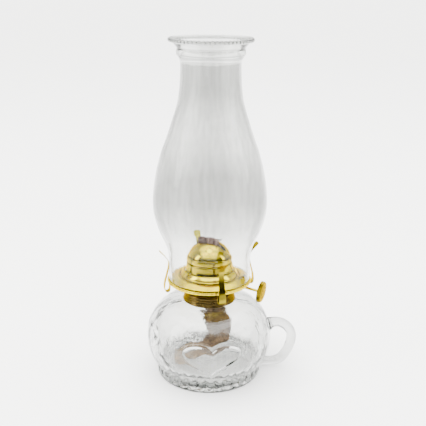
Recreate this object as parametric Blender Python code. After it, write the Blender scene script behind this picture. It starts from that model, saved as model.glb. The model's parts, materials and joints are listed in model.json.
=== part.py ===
"""Clear glass finger lamp for oil: pressed glass font with a finger loop, a screw-in
flat-wick brass burner with four spring prongs, and a bulged glass chimney.

Frame: metres, +Z up.  The origin is on the lamp's axis at the underside of the foot.
The finger loop stands out on +X and the front heart faces -Y.  Azimuths are turned
from -Y towards +X.  The sizes below are in millimetres.
"""
import math

import bmesh
import bpy
from mathutils import Matrix, Vector

MM = 0.001
GAP = 0.3                   # clearance left between neighbouring pieces

# glass font: (radius, height) up the outside, then down the hollow
FOOT_RADIUS = 49.8
FOOT_HEIGHT = 9.6
FONT_OUTER = ((51.9, 12.2), (55.3, 18.6), (58.3, 28.0), (59.4, 38.0), (58.4, 46.0),
              (56.0, 54.0), (52.2, 61.4), (46.6, 67.6), (39.6, 71.8), (31.5, 73.7))
FONT_INNER = ((30.0, 69.4), (38.2, 67.5), (44.4, 63.6), (49.2, 57.0), (52.6, 49.0),
              (54.4, 38.0), (53.2, 28.0), (49.4, 19.0), (43.6, 13.0), (35.0, 10.0))
NECK_OUTER = 20.6
NECK_INNER = 18.3
NECK_TOP = 82.2
FLOOR_THICKNESS = 8.6

# finger loop: centre line as (distance from the axis, height)
HANDLE_PATH = ((55.0, 46.4), (62.0, 48.3), (69.0, 47.7), (75.6, 43.8), (79.7, 37.0),
               (79.9, 28.0), (76.6, 18.5), (71.8, 11.0), (65.8, 6.9), (58.5, 6.1),
               (46.5, 6.1))
HANDLE_RADIUS = 4.65

# brass collar and its threads
COLLAR_OUTER = ((24.9, 74.6), (24.9, 75.5), (24.1, 76.5), (24.0, 78.2), (23.4, 78.9),
                (23.6, 80.0), (22.9, 80.9), (23.0, 82.3), (22.3, 83.6), (20.8, 84.5),
                (16.9, 84.8))
COLLAR_INNER = ((16.8, 83.9), (20.4, 83.9), (21.7, 83.1), (22.3, 82.0), (22.3, 78.2),
                (23.3, 76.2), (23.3, 74.6))
THREAD_BORE = 16.2
THREAD_RADIUS = 15.85
THREAD_ROOT = 14.9
THREAD_BOTTOM = 75.4
THREAD_TOP = 84.9

# burner: everything about the wick lies on the azimuth below
WICK_AZIMUTH = math.radians(66.0)
BOWL_OUTER = ((15.3, 85.2), (20.5, 85.2), (23.2, 86.2), (25.0, 88.4), (25.5, 91.0),
              (25.5, 99.0))
SHEET = 0.6                 # thickness of the pressed brass sheet
TUBE_WIDTH = 25.6           # inside the flat wick tube
TUBE_DEPTH = 4.0
TUBE_WALL = 0.5
TUBE_BOTTOM = 71.5
TUBE_TOP = 123.5
WICK_WIDTH = 24.0
WICK_DEPTH = 2.6
WICK_TOP = 134.6
WICK_SPLIT = 69.9
# slack end of the wick: (x, y, height, azimuth that its width lies along, in degrees)
WICK_TAIL = ((0.0, 0.0, 69.4, 66.0), (0.0, 0.0, 68.4, 66.0), (0.0, 0.0, 66.6, 66.0),
             (2.2, 0.2, 62.2, 72.0), (6.0, 0.0, 57.0, 80.0), (8.2, -0.8, 51.0, 82.0),
             (8.9, -1.8, 44.5, 78.0), (8.0, -3.0, 37.5, 64.0), (4.0, -4.2, 31.0, 42.0),
             (-3.5, -5.0, 25.4, 24.0), (-12.0, -5.4, 20.2, 14.0), (-20.0, -5.6, 16.2, 8.0),
             (-27.0, -5.9, 13.6, 5.0), (-32.0, -6.2, 13.0, 5.0))

# raiser: shaft across the tube, with its star wheels and thumb wheel
SHAFT_OFFSET = 5.2
SHAFT_HEIGHT = 92.6
SHAFT_TILT = math.radians(6.5)
SHAFT_RADIUS = 1.25
SHAFT_INNER_END = -14.2
KNOB_FACE = 53.4
KNOB_RADIUS = 10.0
STAR_STATIONS = (-8.0, 0.0, 8.0)
STAR_TEETH = 10
STAR_TIP = 3.5
STAR_ROOT = 2.4
STAR_THICKNESS = 0.8

# gallery plate, from the dome's seat outward to the rim
GALLERY_TOP = ((23.0, 105.3), (24.6, 104.1), (25.8, 102.4), (26.5, 101.4), (26.6, 100.6),
               (27.4, 99.9), (29.6, 99.2), (32.6, 98.2), (35.6, 96.8), (37.8, 95.2),
               (38.8, 94.5), (39.4, 94.1))
DOME_OUTER = ((22.5, 105.7), (22.1, 106.8), (21.7, 109.4), (21.5, 112.7), (20.9, 113.5),
              (21.4, 114.3), (21.0, 117.2), (20.6, 119.2), (19.6, 119.8), (19.1, 121.4),
              (17.3, 124.0), (14.4, 126.7), (10.2, 129.2), (5.2, 130.6))
DOME_APEX = 131.0
DOME_SLOT_HALF = 16.2
DOME_SLOT_WIDTH = 5.6

# four chimney prongs: centre line of the strip as (radius, height)
PRONG_AZIMUTHS = tuple(math.radians(a) for a in (14.0, 104.0, 194.0, 284.0))
PRONG_PIVOT = (38.3, 92.5)
PRONG_PATH = ((38.5, 92.7), (38.5, 88.9), (39.2, 86.8), (41.0, 85.9), (42.8, 87.3),
              (43.5, 90.4), (42.9, 96.2), (41.3, 102.1), (40.0, 107.2), (39.1, 112.9),
              (39.5, 116.2), (42.1, 120.2), (45.0, 123.6), (47.8, 126.6))
PRONG_WIDTH = 5.8
PRONG_THICKNESS = 0.5

# chimney: (radius, height) up the outside
CHIMNEY_BASE = ((38.1, 96.9), (38.1, 108.0))
CHIMNEY_OUTER = ((38.1, 118.0), (39.3, 126.0), (42.6, 135.0), (46.2, 142.8), (49.6, 152.6),
                 (52.2, 170.0), (51.0, 187.0), (47.6, 204.5), (43.5, 218.6), (37.0, 236.7),
                 (31.1, 254.6), (28.2, 266.0), (26.9, 281.0))
CHIMNEY_CROWN = ((26.5, 294.5), (27.7, 300.4), (29.7, 303.2), (29.8, 307.4), (36.9, 315.4),
                 (36.8, 316.7))
CHIMNEY_WALL = 1.9

RING_STEPS = 32             # facets round the large turned pieces
MEDIUM_STEPS = 24
SMALL_STEPS = 16


def clear_scene():
    for obj in list(bpy.data.objects):
        bpy.data.objects.remove(obj, do_unlink=True)


def material(name, color, roughness, metallic, transmission=0.0, ior=1.45):
    mat = bpy.data.materials.new(name)
    mat.use_nodes = True
    shader = mat.node_tree.nodes["Principled BSDF"]
    shader.inputs["Base Color"].default_value = (color[0], color[1], color[2], 1.0)
    shader.inputs["Roughness"].default_value = roughness
    shader.inputs["Metallic"].default_value = metallic
    shader.inputs["Transmission Weight"].default_value = transmission
    shader.inputs["IOR"].default_value = ior
    return mat


def smooth_path(keys, steps):
    """Points on a Catmull-Rom curve through the keys, ends included."""
    pts = [Vector(k) for k in keys]
    pts = [2.0 * pts[0] - pts[1]] + pts + [2.0 * pts[-1] - pts[-2]]
    out = []
    for i in range(1, len(pts) - 2):
        a, b, c, d = pts[i - 1:i + 3]
        for k in range(steps):
            t = k / steps
            p = (2.0 * b + (c - a) * t + (2.0 * a - 5.0 * b + 4.0 * c - d) * t * t
                 + (3.0 * b - a - 3.0 * c + d) * t * t * t)
            out.append(p * 0.5)
    out.append(pts[-2])
    return out


def normals_2d(path):
    """Unit normals to the right of a path's direction, one per point."""
    out = []
    for i in range(len(path)):
        t = Vector(path[min(i + 1, len(path) - 1)]) - Vector(path[max(i - 1, 0)])
        t.normalize()
        out.append(Vector((t.y, -t.x)))
    return out


def offset_path(path, distance):
    return [Vector(p) + n * distance for p, n in zip(path, normals_2d(path))]


def sheet_profile(path, thickness):
    """Closed outline of a sheet whose show side is the path."""
    return [Vector(p) for p in path] + list(reversed(offset_path(path, thickness)))


def add_object(name, bm, mat, parent=None, sharp=32.0):
    bmesh.ops.recalc_face_normals(bm, faces=bm.faces)
    mesh = bpy.data.meshes.new(name)
    bm.to_mesh(mesh)
    bm.free()
    mesh.shade_smooth()
    mesh.set_sharp_from_angle(angle=math.radians(sharp))
    obj = bpy.data.objects.new(name, mesh)
    bpy.context.scene.collection.objects.link(obj)
    if mat is not None:
        mesh.materials.append(mat)
    obj.parent = parent
    return obj


def empty(name, location=(0.0, 0.0, 0.0), rotation=(0.0, 0.0, 0.0)):
    obj = bpy.data.objects.new(name, None)
    bpy.context.scene.collection.objects.link(obj)
    obj.location = location
    obj.rotation_euler = rotation
    return obj


def turned(name, profile, mat, parent=None, steps=RING_STEPS, closed=True, along_x=False):
    """A profile of (radius, height) in millimetres spun about the axis.

    A closed profile makes a ring.  An open one starts and ends on the axis."""
    bm = bmesh.new()
    verts = [bm.verts.new((p[0] * MM, 0.0, p[1] * MM)) for p in profile]
    edges = [bm.edges.new((verts[i], verts[i + 1])) for i in range(len(verts) - 1)]
    if closed:
        edges.append(bm.edges.new((verts[-1], verts[0])))
    bmesh.ops.spin(bm, geom=verts + edges, axis=(0.0, 0.0, 1.0), cent=(0.0, 0.0, 0.0),
                   angle=2.0 * math.pi, steps=steps, use_merge=True)
    bmesh.ops.remove_doubles(bm, verts=bm.verts, dist=1e-6)
    if along_x:
        bmesh.ops.rotate(bm, verts=bm.verts, cent=(0.0, 0.0, 0.0),
                         matrix=Matrix.Rotation(math.radians(90.0), 3, "Y"))
    return add_object(name, bm, mat, parent)


def swept(name, path, section, mat, parent=None, centre=(0.0, 0.0)):
    """A section carried along a path in the local XZ plane, with capped ends.

    The section's first number is across the path in its plane, the second along Y."""
    bm = bmesh.new()
    rings = []
    for p, n in zip(path, normals_2d(path)):
        ring = []
        for across, along in section:
            x = p[0] + n.x * across - centre[0]
            z = p[1] + n.y * across - centre[1]
            ring.append(bm.verts.new((x * MM, along * MM, z * MM)))
        rings.append(ring)
    count = len(section)
    for first, second in zip(rings[:-1], rings[1:]):
        for i in range(count):
            j = (i + 1) % count
            bm.faces.new((first[i], first[j], second[j], second[i]))
    bm.faces.new(rings[0])
    bm.faces.new(list(reversed(rings[-1])))
    return add_object(name, bm, mat, parent)


def block(name, low, high, mat, parent=None):
    bm = bmesh.new()
    bmesh.ops.create_cube(bm, size=1.0)
    size = [(h - l) * MM for l, h in zip(low, high)]
    mid = [(h + l) * 0.5 * MM for l, h in zip(low, high)]
    bmesh.ops.scale(bm, vec=size, verts=bm.verts)
    bmesh.ops.translate(bm, vec=mid, verts=bm.verts)
    return add_object(name, bm, mat, parent)


def cut(obj, cutter):
    """Take the cutter out of the object, exactly."""
    cutter.display_type = "WIRE"
    cutter.hide_render = True
    mod = obj.modifiers.new("cut_" + cutter.name, "BOOLEAN")
    mod.operation = "DIFFERENCE"
    mod.solver = "EXACT"
    mod.object = cutter


def flat_oval(half_length, half_depth, corners=4):
    """Outline of a strip section with rounded ends, counter-clockwise in (x, y)."""
    out = []
    for side, start in ((1.0, -90.0), (-1.0, 90.0)):
        for k in range(corners + 1):
            a = math.radians(start + 180.0 * k / corners)
            out.append((side * (half_length - half_depth) + half_depth * math.cos(a),
                        half_depth * math.sin(a)))
    return out


def open_tube(name, outer, inner, low, high, mat, parent=None):
    """A straight tube of any section, open at both ends."""
    bm = bmesh.new()
    loops = []
    for outline in (outer, inner):
        for z in (low, high):
            loops.append([bm.verts.new((x * MM, y * MM, z * MM)) for x, y in outline])
    out_low, out_high, in_low, in_high = loops
    for a, b in ((out_low, out_high), (out_high, in_high), (in_high, in_low), (in_low, out_low)):
        for i in range(len(a)):
            j = (i + 1) % len(a)
            bm.faces.new((a[i], a[j], b[j], b[i]))
    return add_object(name, bm, mat, parent)


def azimuth_turn(azimuth):
    """Rotation about Z that carries +X to an azimuth measured from -Y towards +X."""
    return azimuth - math.radians(90.0)


def make_font(glass, brass, plaster):
    outer = [Vector((FOOT_RADIUS - 1.2, 0.0)), Vector((FOOT_RADIUS, 1.2)),
             Vector((FOOT_RADIUS, FOOT_HEIGHT))]
    outer += smooth_path(FONT_OUTER, 2)
    outer += [Vector((25.0, 74.2)), Vector((NECK_OUTER, 74.4)),
              Vector((NECK_OUTER, NECK_TOP)), Vector((NECK_INNER, NECK_TOP)),
              Vector((NECK_INNER, 72.0)), Vector((21.5, 70.2))]
    hollow = [Vector(p) for p in FONT_INNER]
    hollow += [Vector((20.0, FLOOR_THICKNESS))]
    profile = [Vector((0.0, 0.0))] + outer + hollow + [Vector((0.0, FLOOR_THICKNESS - 0.2))]
    turned("glass_font", profile, glass, closed=False)

    ring = [(HANDLE_RADIUS * math.cos(math.radians(36.0 * k)),
             HANDLE_RADIUS * math.sin(math.radians(36.0 * k))) for k in range(10)]
    handle = swept("finger_handle", smooth_path(HANDLE_PATH, 3), ring, glass)
    shell = [Vector((0.0, -2.0)), Vector((FOOT_RADIUS + 0.5, -2.0)),
             Vector((FOOT_RADIUS + 0.5, FOOT_HEIGHT))]
    shell += [p + Vector((0.45, 0.0)) for p in smooth_path(FONT_OUTER, 2)]
    shell += [Vector((0.0, 74.5))]
    cut(handle, turned("handle_trim", shell, None, steps=RING_STEPS * 2, closed=False))

    collar = list(COLLAR_OUTER) + [(THREAD_BORE, 84.4), (THREAD_BORE, 75.0), (16.8, 75.0)]
    collar += list(COLLAR_INNER)
    turned("font_collar", collar, brass, steps=MEDIUM_STEPS)
    packing = ((17.1, 75.2), (18.0, 75.2), (18.0, 82.5), (20.9, 82.5), (20.9, 75.0),
               (22.0, 75.0), (22.0, 81.8), (21.4, 82.75), (20.2, 83.55), (17.1, 83.55))
    turned("collar_plaster", packing, plaster, steps=MEDIUM_STEPS)


def make_burner(brass, cotton):
    axis = empty("burner_axis")
    ring = ((THREAD_ROOT, THREAD_BOTTOM), (THREAD_RADIUS, THREAD_BOTTOM),
            (THREAD_RADIUS, THREAD_TOP), (THREAD_ROOT, THREAD_TOP))
    turned("burner_ring", ring, brass, axis, MEDIUM_STEPS)
    bowl = turned("burner_bowl", sheet_profile(BOWL_OUTER, -SHEET), brass, axis)

    cross = empty("wick_axis", rotation=(0.0, 0.0, azimuth_turn(WICK_AZIMUTH)))
    half_width = TUBE_WIDTH / 2.0
    half_depth = TUBE_DEPTH / 2.0
    tube = open_tube("wick_tube", flat_oval(half_width + TUBE_WALL, half_depth + TUBE_WALL),
                     flat_oval(half_width, half_depth), TUBE_BOTTOM, TUBE_TOP, brass, cross)
    for i, station in enumerate(STAR_STATIONS):
        height = SHAFT_HEIGHT - station * math.tan(SHAFT_TILT)
        window = block("window_%d" % (i + 1), (station - 1.1, half_depth - 0.6, height - 3.2),
                       (station + 1.1, half_depth + 1.2, height + 3.2), None, cross)
        cut(tube, window)

    screen = turned("air_screen", ((0.0, 98.3), (24.3, 98.3), (24.3, 98.9), (0.0, 98.9)),
                    brass, axis, closed=False)
    hole = block("screen_hole", (-half_width - TUBE_WALL - GAP, -half_depth - TUBE_WALL - GAP, 90.0),
                 (half_width + TUBE_WALL + GAP, half_depth + TUBE_WALL + GAP, 105.0), None, cross)
    cut(screen, hole)

    spring = ((-3.2, 87.5), (-3.9, 90.0), (-4.2, 92.6), (-3.9, 95.2), (-3.2, 97.6))
    flat = ((-0.2, -9.0), (0.2, -9.0), (0.2, 9.0), (-0.2, 9.0))
    side = empty("spring_axis", rotation=(0.0, 0.0, azimuth_turn(WICK_AZIMUTH) + math.pi / 2.0))
    swept("wick_tensioner", smooth_path(spring, 2), flat, brass, side)

    housing = block("wheel_housing", (-12.7, 2.9, 87.2), (12.7, 9.9, 97.9), brass, cross)
    cut(housing, block("housing_hollow", (-12.1, 2.0, 87.8), (12.1, 9.3, 97.3), None, cross))

    shaft_axis = empty("raiser_axis", rotation=(0.0, SHAFT_TILT, azimuth_turn(WICK_AZIMUTH)))
    shaft_axis.location = (SHAFT_OFFSET * math.cos(WICK_AZIMUTH) * MM,
                           SHAFT_OFFSET * math.sin(WICK_AZIMUTH) * MM, SHAFT_HEIGHT * MM)
    inner_bore = turned("housing_bore", ((0.0, -16.0), (1.7, -16.0), (1.7, 16.0), (0.0, 16.0)),
                        None, shaft_axis, SMALL_STEPS, False, True)
    cut(housing, inner_bore)
    bowl_bore = turned("bowl_bore", ((0.0, 19.0), (2.8, 19.0), (2.8, 30.0), (0.0, 30.0)),
                       None, shaft_axis, SMALL_STEPS, False, True)
    cut(bowl, bowl_bore)
    turned("shaft_sleeve", ((1.65, 21.0), (2.4, 21.0), (2.4, 29.0), (1.65, 29.0)),
           brass, shaft_axis, SMALL_STEPS, True, True)

    shaft = ((0.0, SHAFT_INNER_END), (SHAFT_RADIUS, SHAFT_INNER_END),
             (SHAFT_RADIUS, KNOB_FACE - 1.6), (0.0, KNOB_FACE - 1.6))
    turned("raiser_shaft", shaft, brass, shaft_axis, SMALL_STEPS, False, True)
    knob = ((0.0, KNOB_FACE), (5.4, KNOB_FACE - 0.2), (8.9, KNOB_FACE - 0.8),
            (KNOB_RADIUS - 0.1, KNOB_FACE - 1.7), (KNOB_RADIUS, KNOB_FACE - 4.6),
            (KNOB_RADIUS - 0.8, KNOB_FACE - 4.7), (KNOB_RADIUS - 0.9, KNOB_FACE - 2.0),
            (8.2, KNOB_FACE - 1.5), (3.1, KNOB_FACE - 1.0), (2.9, KNOB_FACE - 4.0),
            (SHAFT_RADIUS + GAP, KNOB_FACE - 4.0), (SHAFT_RADIUS + GAP, KNOB_FACE - 1.3),
            (0.0, KNOB_FACE - 1.3))
    turned("thumb_wheel", knob, brass, shaft_axis, MEDIUM_STEPS, False, True)
    for i, station in enumerate(STAR_STATIONS):
        make_star("star_wheel_%d" % (i + 1), station, brass, shaft_axis)

    block("wick", (-WICK_WIDTH / 2.0, -WICK_DEPTH / 2.0, WICK_SPLIT),
          (WICK_WIDTH / 2.0, WICK_DEPTH / 2.0, WICK_TOP), cotton, cross)
    make_wick_tail(cotton)


def make_wick_tail(cotton):
    """The ribbon hangs below the tube, turns on its way down and leans on the floor."""
    keys = smooth_path(WICK_TAIL, 3)
    bm = bmesh.new()
    rings = []
    for i, key in enumerate(keys):
        run = keys[min(i + 1, len(keys) - 1)].xyz - keys[max(i - 1, 0)].xyz
        run.normalize()
        azimuth = math.radians(key[3])
        along = Vector((math.sin(azimuth), -math.cos(azimuth), 0.0))
        along -= run * along.dot(run)
        along.normalize()
        face = run.cross(along)
        ring = []
        for side, edge in ((-0.5, -0.5), (0.5, -0.5), (0.5, 0.5), (-0.5, 0.5)):
            p = key.xyz + face * (side * WICK_DEPTH) + along * (edge * WICK_WIDTH)
            ring.append(bm.verts.new(p * MM))
        rings.append(ring)
    for first, second in zip(rings[:-1], rings[1:]):
        for i in range(4):
            j = (i + 1) % 4
            bm.faces.new((first[i], first[j], second[j], second[i]))
    bm.faces.new(rings[0])
    bm.faces.new(list(reversed(rings[-1])))
    add_object("wick_tail", bm, cotton)


def make_star(name, station, brass, parent):
    """A toothed wheel with a plain bore, in the plane across the shaft."""
    bm = bmesh.new()
    rings = []
    bore = SHAFT_RADIUS + GAP
    count = STAR_TEETH * 2
    for x in (station - STAR_THICKNESS / 2.0, station + STAR_THICKNESS / 2.0):
        for inside in (False, True):
            ring = []
            for k in range(count):
                a = 2.0 * math.pi * (k + 0.5) / count
                r = bore if inside else (STAR_TIP if k % 2 else STAR_ROOT)
                ring.append(bm.verts.new((x * MM, r * math.cos(a) * MM, r * math.sin(a) * MM)))
            rings.append(ring)
    near_out, near_in, far_out, far_in = rings
    for a, b in ((near_out, far_out), (far_out, far_in), (far_in, near_in), (near_in, near_out)):
        for i in range(count):
            j = (i + 1) % count
            bm.faces.new((a[i], a[j], b[j], b[i]))
    return add_object(name, bm, brass, parent)


def make_gallery(brass):
    axis = empty("gallery_axis")
    turned("gallery_plate", sheet_profile(GALLERY_TOP, SHEET), brass, axis)
    skin = [Vector(p) for p in DOME_OUTER]
    inner = offset_path(skin, -SHEET)
    profile = [Vector((0.0, DOME_APEX))] + list(reversed(skin)) + inner
    profile += [Vector((0.0, DOME_APEX - SHEET))]
    dome = turned("dome", profile, brass, axis, closed=False)
    cross = empty("dome_slot_axis", rotation=(0.0, 0.0, azimuth_turn(WICK_AZIMUTH)))
    slot = block("dome_slot", (-DOME_SLOT_HALF, -DOME_SLOT_WIDTH / 2.0, 121.8),
                 (DOME_SLOT_HALF, DOME_SLOT_WIDTH / 2.0, 140.0), None, cross)
    cut(dome, slot)

    half = PRONG_THICKNESS / 2.0
    strip = ((-half, -PRONG_WIDTH / 2.0), (half, -PRONG_WIDTH / 2.0),
             (half, PRONG_WIDTH / 2.0), (-half, PRONG_WIDTH / 2.0))
    for i, azimuth in enumerate(PRONG_AZIMUTHS):
        prong = swept("prong_%d" % (i + 1), PRONG_PATH, strip, brass, None, PRONG_PIVOT)
        prong.location = (PRONG_PIVOT[0] * math.sin(azimuth) * MM,
                          -PRONG_PIVOT[0] * math.cos(azimuth) * MM, PRONG_PIVOT[1] * MM)
        prong.rotation_euler = (0.0, 0.0, azimuth_turn(azimuth))


def make_chimney(glass):
    body = [Vector(p) for p in CHIMNEY_OUTER]
    outer = [Vector(p) for p in CHIMNEY_BASE] + body + [Vector(p) for p in CHIMNEY_CROWN]
    inner = offset_path(outer, -CHIMNEY_WALL)
    inner[0] = Vector((CHIMNEY_BASE[0][0] - CHIMNEY_WALL, CHIMNEY_BASE[0][1]))
    inner[-1] = Vector((CHIMNEY_CROWN[-1][0] - CHIMNEY_WALL, CHIMNEY_CROWN[-1][1]))
    turned("chimney", outer + list(reversed(inner)), glass)


def main():
    clear_scene()
    brass = material("brass", (0.83, 0.62, 0.22), 0.16, 1.0)
    glass = material("clear_glass", (0.95, 0.97, 0.96), 0.03, 0.0, 1.0, 1.5)
    plaster = material("plaster", (0.80, 0.78, 0.72), 0.9, 0.0)
    cotton = material("wick_cotton", (0.46, 0.34, 0.24), 0.95, 0.0)
    make_font(glass, brass, plaster)
    make_burner(brass, cotton)
    make_gallery(brass)
    make_chimney(glass)


main()
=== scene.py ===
import json
import math

import bmesh
import bpy
import numpy as np
from mathutils import Matrix, Vector


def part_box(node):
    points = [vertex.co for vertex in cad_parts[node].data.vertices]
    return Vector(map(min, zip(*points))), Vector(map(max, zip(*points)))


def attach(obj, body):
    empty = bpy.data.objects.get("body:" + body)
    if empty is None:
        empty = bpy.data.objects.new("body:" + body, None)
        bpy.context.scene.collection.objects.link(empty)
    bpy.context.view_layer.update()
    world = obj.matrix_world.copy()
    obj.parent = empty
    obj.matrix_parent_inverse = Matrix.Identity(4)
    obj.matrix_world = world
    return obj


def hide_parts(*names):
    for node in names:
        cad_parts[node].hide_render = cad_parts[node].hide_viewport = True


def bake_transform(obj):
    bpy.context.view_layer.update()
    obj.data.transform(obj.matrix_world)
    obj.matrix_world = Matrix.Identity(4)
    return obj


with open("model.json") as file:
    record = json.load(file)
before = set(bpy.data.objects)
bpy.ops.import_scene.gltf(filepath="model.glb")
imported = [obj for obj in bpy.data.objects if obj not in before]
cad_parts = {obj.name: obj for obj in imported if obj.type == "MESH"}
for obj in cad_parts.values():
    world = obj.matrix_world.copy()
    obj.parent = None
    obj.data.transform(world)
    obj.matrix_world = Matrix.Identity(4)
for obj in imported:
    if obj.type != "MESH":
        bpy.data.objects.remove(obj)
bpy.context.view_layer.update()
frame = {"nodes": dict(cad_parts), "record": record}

# ---------------------------------------------------------------------------------------
# Font of clear pressed glass: a squat round bowl on a reeded foot, with a raised heart on
# three sides and a finger loop.  It is pressed in one piece, thick in the floor and the
# walls, and its short neck goes up inside the brass collar.

MM = 0.001


def smooth_path(keys, steps):
    """Points on a Catmull-Rom curve through the keys."""
    k = np.array(keys, float)
    k = np.vstack([2 * k[0] - k[1], k, 2 * k[-1] - k[-2]])
    t = np.arange(steps)[:, None] / steps
    runs = [0.5 * (2 * b + (c - a) * t + (2 * a - 5 * b + 4 * c - d) * t**2
                   + (3 * b - a - 3 * c + d) * t**3)
            for a, b, c, d in zip(k[:-3], k[1:-2], k[2:-1], k[3:])]
    return np.vstack(runs + [k[-2]])


def even_path(path, spacing):
    """The same path with its points a fixed distance apart."""
    p = np.array(path, float)
    run = np.concatenate([[0.0], np.cumsum(np.linalg.norm(np.diff(p[:, :3], axis=0), axis=1))])
    at = np.linspace(0.0, run[-1], max(2, int(round(run[-1] / spacing)) + 1))
    return np.stack([np.interp(at, run, p[:, i]) for i in range(p.shape[1])], -1)


def mesh_piece(name, points, faces, mat=None, sharp=50.0):
    mesh = bpy.data.meshes.new(name)
    mesh.from_pydata([tuple(p) for p in points], [], faces)
    mesh.validate()
    mesh.shade_smooth()
    mesh.set_sharp_from_angle(angle=math.radians(sharp))
    obj = bpy.data.objects.new(name, mesh)
    bpy.context.scene.collection.objects.link(obj)
    if mat is not None:
        mesh.materials.append(mat)
    return obj


def turned(name, profile, columns, mat=None, closed=True, form=None, sharp=50.0):
    """Turn a profile of (radius, height) in millimetres about the lamp's axis.

    The profile climbs its outer side first.  An open one starts and ends on the axis.
    form(radius, height, azimuth) may move every point."""
    p = np.array(profile, float)
    rows = p if closed else p[1:-1]
    n = len(rows)
    azimuth = np.arange(columns) * (2 * math.pi / columns)
    r = np.repeat(rows[:, :1], columns, 1)
    z = np.repeat(rows[:, 1:2], columns, 1)
    a = np.repeat(azimuth[None], n, 0)
    if form is not None:
        r, z = form(r, z, a)
    points = np.stack([r * np.sin(a), -r * np.cos(a), z], -1).reshape(-1, 3) * MM
    i = np.arange(n if closed else n - 1)[:, None]
    j = np.arange(columns)[None]
    i2 = (i + 1) % n
    j2 = (j + 1) % columns
    faces = np.stack([i * columns + j, i * columns + j2, i2 * columns + j2,
                      i2 * columns + j], -1).reshape(-1, 4).tolist()
    points = points.tolist()
    if not closed:
        points += [[0.0, 0.0, p[0, 1] * MM], [0.0, 0.0, p[-1, 1] * MM]]
        low, high, top = n * columns, n * columns + 1, (n - 1) * columns
        for k in range(columns):
            m = (k + 1) % columns
            faces.append([low, m, k])
            faces.append([top + k, top + m, high])
    return mesh_piece(name, points, faces, mat, sharp)


def add_node(tree, kind, label=None, **values):
    """Add a node.  A value named after an input sets it, or feeds it if it is an output of
    another node; any other value sets a property of the node."""
    node = tree.nodes.new(kind)
    if label:
        node.label = label
    for key, value in values.items():
        name = key.replace("_", " ")
        if name not in node.inputs:
            setattr(node, key, value)
        elif isinstance(value, bpy.types.NodeSocket):
            tree.links.new(value, node.inputs[name])
        else:
            node.inputs[name].default_value = value
    return node


def worked_out(tree, kind, operation, *values):
    """The result of a Math or Vector Math node fed with the values in order."""
    node = add_node(tree, kind, operation=operation)
    for end, value in zip(node.inputs, values):
        if isinstance(value, bpy.types.NodeSocket):
            tree.links.new(value, end)
        else:
            end.default_value = value
    return next(end for end in node.outputs if end.enabled)


def new_material(name):
    mat = bpy.data.materials.new(name)
    mat.use_nodes = True
    tree = mat.node_tree
    shader = tree.nodes["Principled BSDF"]
    return mat, tree, shader


def colour_steps(tree, source, steps):
    ramp = tree.nodes.new("ShaderNodeValToRGB")
    while len(ramp.color_ramp.elements) < len(steps):
        ramp.color_ramp.elements.new(0.5)
    for element, (place, colour) in zip(ramp.color_ramp.elements, steps):
        element.position = place
        element.color = (*colour, 1.0)
    tree.links.new(source, ramp.inputs["Fac"])
    return ramp.outputs["Color"]


# painted shade: the glass's colour darkens as its surface turns away from the eye
EDGE_SHADE_TONES = ((0.0, 1.0), (0.50, 1.0), (0.74, 0.90), (0.90, 0.62), (1.0, 0.40))


def multiplied(tree, first, second):
    """The product of two colours, or of a colour and a tone."""
    mix = add_node(tree, "ShaderNodeMix", data_type="RGBA", blend_type="MULTIPLY")
    mix.inputs["Factor"].default_value = 1.0
    tree.links.new(first, mix.inputs["A"])
    tree.links.new(second, mix.inputs["B"])
    return mix.outputs["Result"]


def tone_by_height(tree, height, tones, tint):
    """A grey for each height, from (height in mm, grey) pairs, coloured by the tint."""
    low, high = tones[0][0], tones[-1][0]
    climb = add_node(tree, "ShaderNodeMapRange", "height", From_Min=low * MM, From_Max=high * MM,
                     Value=height)
    return colour_steps(tree, climb.outputs["Result"],
                        [((z - low) / (high - low), tuple(g * t for t in tint))
                         for z, g in tones])


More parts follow.
